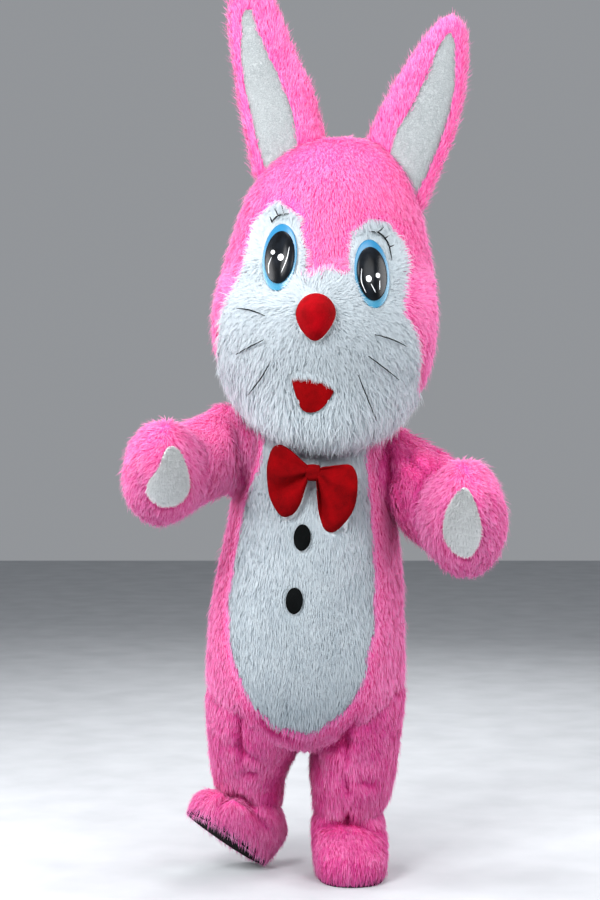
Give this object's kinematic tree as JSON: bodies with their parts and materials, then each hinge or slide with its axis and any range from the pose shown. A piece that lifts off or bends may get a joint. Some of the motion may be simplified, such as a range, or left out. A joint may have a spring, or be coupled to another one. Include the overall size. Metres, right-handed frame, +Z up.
{
  "type": "rabbit mascot costume",
  "caption": "Full-body rabbit costume in its worn, hollow form: big fur head with ears, fur suit with belly panel, mitts, shoes and bow tie.",
  "frame": {"origin": "between the wearer's shoulders, which hold the suit up, 1.15 m above the floor that the left sole stands on", "axes": "+Z up, the rabbit faces -Y, its own left side is +X"},
  "size_m": [0.9147, 0.6476, 2.212],
  "materials": {
    "pink_fur": "long-pile pink fur cloth",
    "white_fur": "white fur cloth with a medium pile",
    "cream_plush": "short cream plush",
    "eye_blue": "satin blue sheet",
    "eye_gloss": "glossy black dome",
    "nose_velvet": "red velvet over padding",
    "red_felt": "dark red felt",
    "black_felt": "black felt",
    "sole_rubber": "matt black sole"
  },
  "bodies": {
    "root": {"bow_knot": "red_felt", "bow_loop_left": "red_felt", "bow_loop_right": "red_felt", "button_lower": "black_felt", "button_upper": "black_felt", "ear_back_left": "pink_fur", "ear_back_right": "pink_fur", "ear_lining_left": "cream_plush", "ear_lining_right": "cream_plush", "eye_dome_left": "eye_gloss", "eye_dome_right": "eye_gloss", "eye_ring_left": "eye_blue", "eye_ring_right": "eye_blue", "head_back_left": "pink_fur", "head_back_right": "pink_fur", "head_brow": "pink_fur", "head_face": "white_fur", "leg_left": "pink_fur", "leg_right": "pink_fur", "mitt_back_left": "pink_fur", "mitt_back_right": "pink_fur", "mitt_palm_left": "pink_fur", "mitt_palm_right": "pink_fur", "mouth": "red_felt", "nose": "nose_velvet", "palm_patch_left": "cream_plush", "palm_patch_right": "cream_plush", "shoe_upper_left": "pink_fur", "shoe_upper_right": "pink_fur", "sleeve_left": "pink_fur", "sleeve_right": "pink_fur", "sole_left": "sole_rubber", "sole_right": "sole_rubber", "suit_back_left": "pink_fur", "suit_back_right": "pink_fur", "suit_belly": "white_fur", "suit_front": "pink_fur"}
  },
  "joints": []
}
